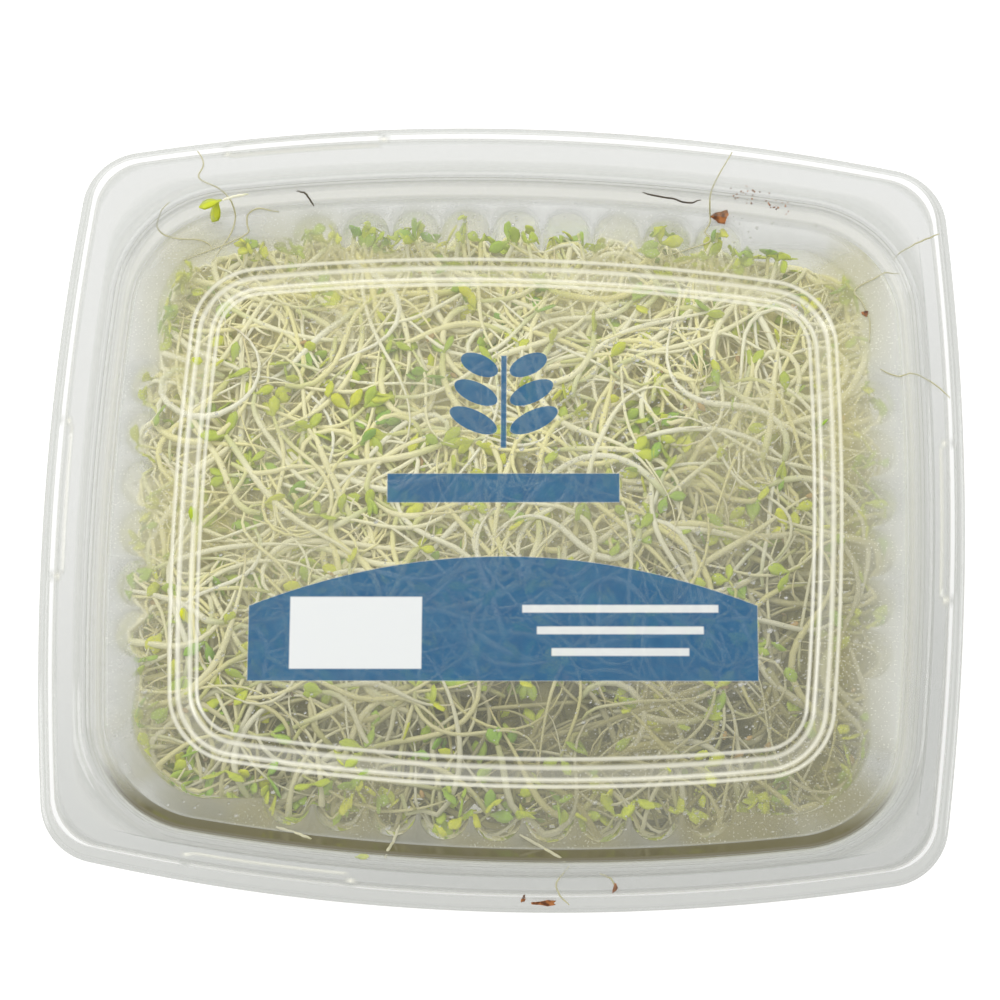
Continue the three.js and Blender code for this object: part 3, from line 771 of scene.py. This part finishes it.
def steepness(profile):
    """How steep a sheet is, from 0 to 1, at each row of its lower face and back along its upper one."""
    out = np.abs(np.diff(profile[:, 0]))
    steep = np.abs(np.diff(profile[:, 3]))
    steep = steep / np.hypot(out, steep).clip(1e-6)
    steep = np.maximum(np.append(steep, 0), np.insert(steep, 0, 0))
    return np.concatenate([steep, steep[::-1]])


def ramp(values, low, high):
    """As Wire.between, on numbers and with an even rise."""
    return ((values - low) / (high - low)).clip(0, 1)


PANEL_HALF = (63, 50)


def clear_sheet(name, haze_and_shade, drops):
    """Clear plastic. It is grey and thin face on, a grey haze that also stands in for the shade under it,
    and painted whiter edge on and at its bends: painted reflections, highlight lines and shade lines. The
    wet sprouts mist it, most of all outside the middle panel of a sheet with drops, and its haze and mist
    are painted darker at the front as shade."""
    sheet = Finish(name)
    line, bend_shade, slope, shade, pale, mist = (
        sheet.value(value) for value in ("line", "bend_shade", "slope", "shade", "pale", "mist"))
    x, y, _ = sheet.axes()
    # Towards the front right the haze thickens and the mist darkens: painted shade.
    front = (y - x * FRONT_SLANT).between(0.04, -0.085)
    if drops:
        across, up = (((at - CUP_MIDDLE[i] * MM) * (1 / (PANEL_HALF[i] * MM))).math("ABSOLUTE")
                      for i, at in enumerate((x, y)))
        mist = (mist + mist * across.math("MAXIMUM", up).between(0.5, 1.1) * 0.45).math("MINIMUM", 1)
    mist = mist * (mist + (1 - mist) * sheet.noise(45, 3).between(0.38, 0.62) * 2)
    # Whiter edge on: a painted reflection.
    edge_on_sheen = sheet.node("ShaderNodeLayerWeight", {}, {"Blend": 0.5}, "Facing") ** 4
    tone = sheet.mix(edge_on_sheen.between(0, 0.3), colour(146, 150, 144), colour(214, 217, 214))
    # Steep faces are painted lighter: a painted sheen.
    tone = sheet.mix(slope * 0.5, tone, colour(226, 224, 206))
    # Grey lines at bends and edges: painted shade.
    tone = sheet.mix(bend_shade, tone, colour(184, 187, 180))
    # White lines at bends: painted highlights, which also glow faintly.
    tone = sheet.mix(line, tone, colour(246, 244, 226))
    tone = sheet.mix(shade, tone, colour(104, 98, 70))
    # The mist's tone darkens towards the front: painted shade.
    mist_tone = sheet.mix(front * 0.8, colour(206, 198, 130), colour(130, 120, 62))
    tone = sheet.mix(mist, tone, sheet.mix(pale, mist_tone, colour(226, 227, 216)))
    cover = haze_and_shade + front * haze_and_shade * 0.8 + line * 0.4 + bend_shade * 0.17 + slope * 0.04 + shade * 0.8 + edge_on_sheen * 0.5
    if drops:
        # White specks in the mist: painted glints of drops.
        drop_glint = sheet.noise(2300, 0).between(0.65, 0.78) * mist
        tone = sheet.mix(drop_glint * 0.7, tone, colour(240, 240, 226))
        cover = cover + drop_glint * 0.2
    return sheet.shade({
        "Base Color": tone,
        "Roughness": 0.06 + mist * 0.3,
        "IOR": 2.2,
        "Alpha": cover + mist * 0.64,
        "Emission Color": sheet.mix(line, colour(0, 0, 0), colour(236, 234, 222)),
        "Emission Strength": 0.2,
    })


tray_finish = clear_sheet("clear_tray", 0.18, False)
cup_lines = [0.5] + [0] * (len(cup_outside) - 3) + [0.6, 1]
cup_inner_lines = [1, 0.6] + [0] * (len(cup_inside) - 2)
tray_lines = np.concatenate([cup_lines, tray_profile[:, 6], tray_profile[::-1, 6], cup_inner_lines])
tray_steep = np.concatenate([[0] * len(cup_outside), steepness(tray_profile), [0] * len(cup_inside)])
tray_inside = np.arange(len(tray_rings))[:, None] >= len(tray_rings) - len(cup_inside)
tray_ledge = np.abs(tray_rings[..., 2] - LEDGE_Z) < 0.9
tray_high = ramp(tray_rings[..., 2], 25, 50)
at_front = ramp(-tray_rings[..., 1], 50, 58)
off_corner = 1 - ramp(np.abs(tray_rings[..., 0]), 60, 70)
# On the front ledge the shade and the dark mist there are painted shade, for the shadowed sprouts behind it.
tray_values = {
    "line": 0,
    "bend_shade": tray_lines[:, None],
    "slope": tray_steep[:, None],
    "shade": 0.55 * at_front * tray_ledge * off_corner,
    "pale": 1 - at_front,
    "mist": np.maximum((0.1 + 0.4 * tray_high) * tray_inside, 0.3 * at_front * tray_ledge),
}


def light_passes(piece):
    """Thin and clear things throw next to no shade."""
    piece.visible_shadow = False
    piece.visible_diffuse = False


tray = mesh_piece("formed_tray", tray_rings, loft(tray_rings), tray_finish, tray_values)
light_passes(tray)
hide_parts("tray")

# Lid: one clear sheet, formed with a skirt and lip, a flange with four snap lugs, a round bead, a
# plug that drops into the tray's collar, and a plateau with a groove round its middle panel.
LIP = (95, 83.2, 13)
RIM = (92.5, 80.7, 11)
GROOVE_OUTER = (68.7, 55.7, 14.5)
GROOVE_INNER = (63.4, 50.4, 9.5)
LIP_Z = 51.3
RIM_Z = 55.8
BEAD_Z = 57
PANEL_Z = 51.7
GROOVE_Z = 50.2
LUG_HALF = 16.5
LUG_INSET = 3.7
LUG_RISE = 0.8
LUG_REACH = 2.0
LUG_EDGE = 0.9
LUG_END = 1.3
# A lug grows out of the skirt between these heights
LUG_FROM, LUG_TO = 53.6, 55.2
# Snap lugs: where each one's middle lies on its side, by axis across the side, sign and place along
LUGS = [(1, 1, -44.4), (1, -1, -44.4), (0, -1, -1.5), (0, 1, -1.5)]
lid_inner = [
    (grown(GROOVE_INNER, -2), PANEL_Z),
    (GROOVE_INNER, PANEL_Z),
    (grown(GROOVE_INNER, 1.4), GROOVE_Z),
    (grown(GROOVE_OUTER, -1.4), GROOVE_Z),
    (GROOVE_OUTER, PANEL_Z),
    (PLUG_FOOT, PANEL_Z),
    (PLUG_TOP, RIM_Z),
    (grown(BEAD, -1.7), RIM_Z),
    (grown(BEAD, -0.9), BEAD_Z),
    (grown(BEAD, 0.9), BEAD_Z),
    (grown(BEAD, 1.9), RIM_Z),
]
lid_outer = [(grown(RIM, -4.6 + 0.42 * i), RIM_Z) for i in range(11)]
lid_outer += [(grown(RIM, 0.15), RIM_Z), (grown(LIP, -0.9), LIP_Z + 0.2), (LIP, LIP_Z)]
lid_profile = soft_profile(lid_inner, lid_outer, 0.7)
side_shares = (np.arange(40) + 0.5) / 40.5
long_shares = (np.arange(50) + 0.5) / 50.5


def lid_ring(row):
    outline = plain_outline(tuple(row[:3]), row[4:6], side_shares, np.linspace(0, 1, 21), long_shares)
    return with_height(outline, row[3])


lid_rings = np.stack([lid_ring(row) for row in [*under_profile(lid_profile), *lid_profile[::-1]]])
lug_inner, lug_outer = np.zeros((2, *lid_rings.shape[:2]))
for across, sign, at in LUGS:
    along = lid_rings[..., 1 - across]
    inset = LIP[across] - BOWS[across] * along * along - sign * lid_rings[..., across]
    outside = np.hypot(np.maximum(np.abs(along - at) - LUG_HALF + LUG_END, 0), inset - LUG_INSET)
    raised = ramp(LUG_REACH - outside, 0, LUG_EDGE)
    raised = raised * raised * (3 - 2 * raised)
    fade = ramp(lid_rings[..., 2], LUG_FROM, LUG_TO)
    lid_rings[..., 2] += LUG_RISE * raised * fade
    lug_edge = 4 * raised * (1 - raised) * fade
    lug_inner = np.maximum(lug_inner, lug_edge * (inset > LUG_INSET))
    lug_outer = np.maximum(lug_outer, 2 * lug_edge * (inset <= LUG_INSET))
lid_finish = clear_sheet("clear_lid", 0.08, True)
lid_rows = np.concatenate([lid_profile, lid_profile[::-1]])
grooved = lid_rows[:, 0] < PLUG_FOOT[0] - 3
under = np.arange(len(lid_rings)) < len(lid_profile)
across, up = (np.abs(lid_rings[..., i] - CUP_MIDDLE[i]) for i in (0, 1))
# Places seen from above: outside the groove, near the plug, in a corner, and at the front and back
OUTSIDE_GROOVE, NEAR_WALL, AT_CORNER = (66, 53), (74, 61), (58, 45)
plateau = ramp(np.maximum(across - OUTSIDE_GROOVE[0], up - OUTSIDE_GROOVE[1]), 0, 3)
near_wall = ramp(np.maximum(across - NEAR_WALL[0], up - NEAR_WALL[1]), 0, 6)
at_corner = ramp(np.minimum(across - AT_CORNER[0], up - AT_CORNER[1]), 0, 5)
lid_front, lid_back = (ramp(sign * lid_rings[..., 1], 46, 56) for sign in (-1, 1))
misty = (under & (lid_rows[:, 0] < PLUG_FOOT[0] + 0.1))[:, None]
mist = 0.36 + 0.04 * lid_rings[..., 0] / 63 + 0.12 * plateau
mist = mist * (1 - 0.35 * lid_back - 0.35 * lid_front - 0.25 * at_corner * near_wall)
# Rows of the profile: the lip's edge, the plug's wall, the groove's floor and the skirt
lid_edge = np.isin(np.arange(len(lid_rings)), (len(lid_profile) - 1, len(lid_profile)))
plug = (lid_rows[:, 0] > PLUG_FOOT[0] - 0.1) & (lid_rows[:, 0] < PLUG_TOP[0] + 0.8)
in_groove = np.abs(lid_rows[:, 3] - GROOVE_Z) < 0.02
skirt = (lid_rows[:, 0] > RIM[0]) & (lid_rows[:, 3] < RIM_Z - 0.2)
# The groove's bends and the lugs' inner sides get painted highlight lines; the rim's bends, lip edge, skirt
# and lugs' outer sides get painted shade lines.
groove_line = (lid_rows[:, 6] + 0.25 * in_groove) * grooved
rim_line = np.maximum(lid_rows[:, 6] * ~grooved + lid_edge, 1.8 * skirt)
lid_values = {
    "line": np.maximum(groove_line[:, None], lug_inner),
    "bend_shade": np.maximum(rim_line[:, None], lug_outer),
    "slope": steepness(lid_profile)[:, None],
    "shade": plug[:, None] * ramp(-lid_rings[..., 1], 55, 65),
    "pale": near_wall * (1 - lid_front * (1 - at_corner)),
    "mist": misty * mist,
}
lid = mesh_piece("formed_lid", lid_rings, loft(lid_rings), lid_finish, lid_values)
light_passes(lid)
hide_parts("lid")

# Condensation: water from the sprouts, beaded in thousands of fine drops on the lid's underside. They
# hang from the panel and the plateau, thick in some patches and thin in others.
DROP_COUNT = 2800
DROP_SIDES = 6
DROP_HALF = (80.5, 67.4)
DROP_WAVES = [(0.06, 0.035), (-0.05, 0.09), (0.11, -0.07), (0.17, 0.15)]
DROP_RADII = (0.14, 0.85)
# Drops keep off the groove, between two half sizes, and stay inside round corners
GROOVE_FROM, GROOVE_TO = (62, 49), (70, 57)
ROUND_FROM, ROUND_RADIUS = (60, 47), 19
drop_places = rng.uniform(-1, 1, (DROP_COUNT * 8, 2)) * DROP_HALF
patch = sum(np.sin(drop_places @ np.array(wave) + phase) for phase, wave in enumerate(DROP_WAVES))
patch += 1.2 * drop_places[:, 0] / 80
from_middle = np.abs(drop_places)
grooved = (from_middle < GROOVE_TO).all(1) & (from_middle > GROOVE_FROM).any(1)
cornered = np.hypot(*(from_middle - ROUND_FROM).clip(0).T) > ROUND_RADIUS
kept = (rng.random(len(patch)) < 0.16 + 0.2 * patch.clip(-0.5, 2)) & ~grooved & ~cornered
drop_places = drop_places[kept][:DROP_COUNT] + CUP_MIDDLE
drop_radius = np.exp(rng.normal(-1.4, 0.38, len(drop_places))).clip(*DROP_RADII)
ring = np.arange(DROP_SIDES)
turn = ring * 2 * math.pi / DROP_SIDES
ring_shape = with_height(np.stack([np.cos(turn), np.sin(turn)], 1), 0)
drop_shape = np.concatenate([ring_shape, ring_shape * 0.72 - (0, 0, 0.42), [[0, 0, -0.62]]])
drop_points = drop_shape * drop_radius[:, None, None]
drop_points += with_height(drop_places, PANEL_Z - SHEET - 0.02)[:, None]
beside = np.roll(ring, -1)
drop_faces = [ring.tolist()]
drop_faces += np.stack([ring, ring + DROP_SIDES, beside + DROP_SIDES, beside], 1).tolist()
drop_faces += [(i + DROP_SIDES, 2 * DROP_SIDES, j + DROP_SIDES) for i, j in zip(ring, beside)]
drop_step = 2 * DROP_SIDES + 1
drop_starts = range(0, len(drop_places) * drop_step, drop_step)
drop_faces = [[corner + start for corner in face] for start in drop_starts for face in drop_faces]
lit_side = np.concatenate([0.5 - 0.5 * np.cos(turn - 2.0), 0.5 - 0.35 * np.cos(turn - 2.0), [0.5]])
drop_lit = (lit_side + rng.normal(0, 0.12, (len(drop_places), 1))).clip(0, 1)
water = Finish("condensed_water")
lit = water.value("lit")
water_finish = water.shade({
    "Base Color": water.mix(lit.between(0.25, 0.65), colour(150, 146, 108), colour(255, 255, 250)),
    "Roughness": 0.1,
    "IOR": 2.0,
    "Alpha": 0.2 + lit.between(0.5, 0.9) * 0.6,
})
drops = mesh_piece("condensation", drop_points, drop_faces, water_finish, {"lit": drop_lit})
light_passes(drops)
drops.visible_glossy = False
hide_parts("lid")

# Strays: single roots caught between lid and tray when it was closed, a few dark threads, brown seed
# coats and specks of soil. They lie on the tray's flange, under the lid.
STRAY_Z = 55.35
LOW_STRAY_Z = 51.48
STRAND_STEPS = 40
STRAND_WOBBLE = 0.04
HUSK_POINTS = 9
HUSK_HALF = 0.15
SPECK_COUNT = 38
# Each root by the places that it passes, in mm from the lid's middle
STRAY_ROOTS = [
    [(-67.2, 75), (-65.4, 73.1), (-65.7, 71), (-67.3, 69.2), (-65.1, 67.9), (-61.9, 67.1), (-59.2, 64.2),
     (-58.3, 62), (-59.3, 58.2), (-61.3, 55), (-63.2, 51.6)],
    [(-63.4, 54.5), (-63.9, 55.9), (-66.7, 56.7), (-71.6, 56.6), (-74.4, 57.8), (-75.8, 59.8), (-72.3, 63.5)],
    [(-49.6, 63.2), (-53.3, 63.7), (-56.4, 62.8), (-56.3, 60.3), (-55.3, 58.3), (-60.9, 55.5), (-69.2, 51.9)],
    [(45.9, 77.6), (43.2, 72.4), (41, 68.1), (41.7, 64.6), (41.9, 62.6), (39.8, 60.7), (42.2, 60.1),
     (41.8, 58.6), (38, 57.4), (32.1, 55.4)],
    [(89.4, 60.5), (84.8, 58.4), (80, 55.4)],
    [(81.4, 51.7), (79, 53.5), (75.6, 51.2), (71.3, 48.9), (73.8, 46.6), (75.5, 42.7), (75.3, 37.6)],
    [(77.6, 31.8), (80.5, 30.4), (84.7, 29.8), (87, 28.6), (89.5, 26.9), (91.5, 24.8)],
    [(15.7, -74.1), (13, -77.7), (14, -80.1), (15.9, -81.8)],
    [(21.8, -75.4), (24.1, -76.3), (24.9, -77.8)],
]
# Stems caught at the edge of the cup, each with its place as above
STRAY_STEMS = [
    [(5.6, -67.6), (10.4, -70.1), (14.9, -73.3)],
    [(-21, -73.6), (-19.8, -70), (-18.6, -66.3)],
    [(-43.5, -67.5), (-39.5, -68.6), (-36, -70)],
    [(-61.3, 64.2), (-58.6, 65.1), (-55.9, 65.7)],
]
STRAY_THREADS = [
    [(-45.6, 66.6), (-44, 66.3), (-43.2, 65.6), (-42.1, 64.5)],
    [(27.2, 68.1), (29.9, 67.4), (33.8, 66.9), (37.1, 66.2), (39.5, 66.7)],
]


def stray_height(places):
    """The flange's height, or the plateau's inside the lid's plug."""
    x, y = np.moveaxis(places - CUP_MIDDLE, -1, 0)
    from_ends = PLUG_FOOT[0] - SHORT_BOW * y * y - np.abs(x)
    from_sides = PLUG_FOOT[1] - LONG_BOW * x * x - np.abs(y)
    return STRAY_Z + (LOW_STRAY_Z - STRAY_Z) * ramp(np.minimum(from_ends, from_sides), -1.6, 0.2)


def turned_flat(places, angle):
    """Places seen from above, turned about the middle."""
    cos, sin = math.cos(angle), math.sin(angle)
    return places @ np.array([[cos, sin], [-sin, cos]])


def strand_piece(name, routes, radius, material):
    """Thin strands along smooth curves through the places given."""
    share = np.linspace(0, 1, STRAND_STEPS)
    strands = []
    for route in routes:
        stops = np.linspace(0, 1, len(route))
        smooth = np.stack([np.interp(share, stops, np.array(route)[:, i]) for i in (0, 1)], 1)
        for _ in range(8):
            smooth[1:-1] = (smooth[:-2] + 2 * smooth[1:-1] + smooth[2:]) / 4
        wobble = np.stack([np.sin(share * 31 + route[0][0]), np.cos(share * 27 + route[0][1])], 1)
        smooth += STRAND_WOBBLE * wobble
        strands.append(np.concatenate([smooth, stray_height(smooth)[:, None]], 1))
    strands = np.stack(strands)
    _, across, up = frames_along(strands, (0, 0, 1))
    thick = radius * np.interp(share, [0, 0.2, 0.8, 1], [0.6, 1, 1, 0.5])
    tubes = sweep(strands, across, up, thick, thick * 0.8)
    return mesh_piece(name, *tubes, material, {"along": 0.3 + 0.6 * share[:, None]})


root = Finish("stray_root")
root_tone = root.mix(root.noise(200, 2), colour(214, 211, 176), colour(186, 180, 132))
root_finish = root.shade({"Base Color": root_tone, "Roughness": 0.5})
stray_roots = strand_piece("stray_roots", STRAY_ROOTS, 0.17, root_finish)
stray_stems = strand_piece("stray_stems", STRAY_STEMS, 0.3, stem_finish)
thread = Finish("dark_thread")
thread_tone = thread.mix(thread.noise(400, 2), colour(52, 48, 42), colour(104, 94, 76))
thread_finish = thread.shade({"Base Color": thread_tone, "Roughness": 0.6})
stray_threads = strand_piece("stray_threads", STRAY_THREADS, 0.2, thread_finish)
# Stray seed leaves: each one's place, heading, length and width
STRAY_LEAVES = [(-61.4, 64.2, 3.45, 5.0, 1.1), (-62, 64.2, 4.3, 3.9, 1.2), (-27, -73.6, 0.1, 2.8, 0.7)]
leaf_x, leaf_y, leaf_turn, leaf_long, leaf_half = np.array(STRAY_LEAVES).T[..., None]
leaf_share = np.linspace(0, 1, LEAF_STEPS)
stray_paths = np.stack([leaf_x + leaf_long * leaf_share * np.cos(leaf_turn),
                        leaf_y + leaf_long * leaf_share * np.sin(leaf_turn)], -1)
stray_paths = np.concatenate([stray_paths, stray_height(stray_paths)[..., None]], -1)
_, across, up = frames_along(stray_paths, (0, 0, 1))
stray_mesh = sweep(stray_paths, across, up, leaf_half * outline_share, 0.16 * outline_share)
stray_leaves = mesh_piece("stray_leaves", *stray_mesh, leaf_finish, {
    "tint": 0.25, "along": leaf_share[:, None]})
# Husks: place, length, width and turn of each
HUSKS = [(43.9, 64.4, 1.8, 1.4, 0.3), (11.1, -81.6, 2.5, 0.55, 0.05), (6.8, -80.9, 0.8, 0.4, 1.2),
         (24.9, -78.2, 1.0, 0.45, 1.3), (74.4, 43.9, 0.7, 0.6, 0.0)]
husk_points, husk_faces = [], []
speck_spots = [(45.5 + 13 * a, 67.2 - 3.5 * a + 4 * b, 0.1 + 0.15 * c, 0.08 + 0.1 * c, 6 * c)
               for a, b, c in rng.random((SPECK_COUNT, 3))]
for x, y, long_half, wide_half, turn_by in HUSKS + speck_spots:
    around = np.arange(HUSK_POINTS) * 2 * math.pi / HUSK_POINTS
    ragged = 1 + 0.3 * np.sin(3 * around + x) * (long_half > 0.5)
    oval = np.stack([long_half * ragged * np.cos(around), wide_half * ragged * np.sin(around)], 1)
    oval = turned_flat(oval, turn_by) + (x, y)
    base = len(husk_points) * HUSK_POINTS
    lies_at = stray_height(np.array([x, y]))
    husk_points += [with_height(oval, lies_at - HUSK_HALF), with_height(oval, lies_at + HUSK_HALF)]
    husk_faces += [[base + i for i in face] for face in loft(np.stack([oval, oval]))]
husk = Finish("brown_husk")
husk_tone = husk.mix(husk.noise(900, 3).between(0.35, 0.65), colour(92, 52, 26), colour(176, 112, 62))
husk_finish = husk.shade({"Base Color": husk_tone, "Roughness": 0.6})
husks = mesh_piece("husks_and_specks", np.concatenate(husk_points), husk_faces, husk_finish, smooth=False)
for stray in (stray_roots, stray_stems, stray_threads, stray_leaves, husks):
    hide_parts("sprouts")

# Label: a thin clear film stuck on the lid's panel, a little askew, printed in see-through blue. The
# print is a plain one: an arched panel with an empty pale patch and rules, a bar, and a leafy sprig.
LABEL_SIZE = (112.6, 84.6)
LABEL_CORNER = 9
LABEL_MIDDLE = (0, 2.5)
LABEL_TURN = 0.028
LABEL_Z = 52.1
label_corner = np.linspace(0, math.pi / 2, 13)
label_half = np.array(LABEL_SIZE) / 2
label_arc = np.stack([np.cos(label_corner), np.sin(label_corner)], 1)
label_outline = mirrored(label_half - LABEL_CORNER + LABEL_CORNER * label_arc, (0, 0))
label_rows = turned_flat(label_outline, LABEL_TURN) + LABEL_MIDDLE
film = Finish("printed_film")


def turned_axes(across, up, middle, turn):
    """How far a point lies along two axes turned by an angle about a middle."""
    across, up = across - middle[0], up - middle[1]
    return (across * math.cos(turn) + up * math.sin(turn), up * math.cos(turn) - across * math.sin(turn))


x, y, _ = film.axes()
u, v = turned_axes(x * (1 / MM), y * (1 / MM), LABEL_MIDDLE, LABEL_TURN)


def box_mask(middle, half, soft=0.2):
    """1 inside an upright box and 0 outside."""
    across, up = (1 - (at - middle[i]).math("ABSOLUTE").between(half[i] - soft, half[i] + soft)
                  for i, at in enumerate((u, v)))
    return across * up


def oval_mask(middle, half, turn):
    """1 inside an oval turned by an angle and 0 outside."""
    p, q = turned_axes(u, v, middle, turn)
    reach = (p * (1 / half[0])) ** 2 + (q * (1 / half[1])) ** 2
    return 1 - reach.between(0.94, 1.06)


# The print, with middles and half sizes in mm from the label's middle
arch = v + 13 + (u * (1 / 56)) ** 2 * 12
panel = (1 - arch.between(-0.2, 0.2)) * box_mask((0, -20), (52, 19))
bar = box_mask((0, 1.5), (24, 3.1))
sprig = box_mask((0, 20), (0.6, 10))
for leaf_side in (-1, 1):
    for leaf_rise, leaf_size in ((16, 5.4), (22, 4.9), (28, 4.2)):
        leaf_middle = (leaf_side * (leaf_size + 0.9), leaf_rise)
        sprig = sprig + oval_mask(leaf_middle, (leaf_size, 2.2), leaf_side * 0.45)
blue = panel + bar + sprig
patch = box_mask((-30, -29), (13.5, 7.5))
rules = sum(box_mask((24, -24 - 4.5 * i), (20 - 3 * i, 0.8)) for i in range(3))
pale = patch + rules
blue = blue.math("MINIMUM", 1)
print_tone = film.mix(film.noise(300, 2), colour(10, 86, 134), colour(44, 112, 152))
film_tone = film.mix(blue, colour(238, 240, 236), print_tone)
film_tone = film.mix(pale, film_tone, colour(240, 243, 242))
film_finish = film.shade({
    "Base Color": film_tone,
    "Roughness": 0.18,
    "IOR": 1.5,
    "Alpha": 0.03 + blue * 0.85 + patch * 0.1,
})
label_points = with_height(label_rows, LABEL_Z)
label = mesh_piece("printed_label", label_points, [range(len(label_points))], film_finish, smooth=False)
light_passes(label)
label.visible_glossy = False
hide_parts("label")
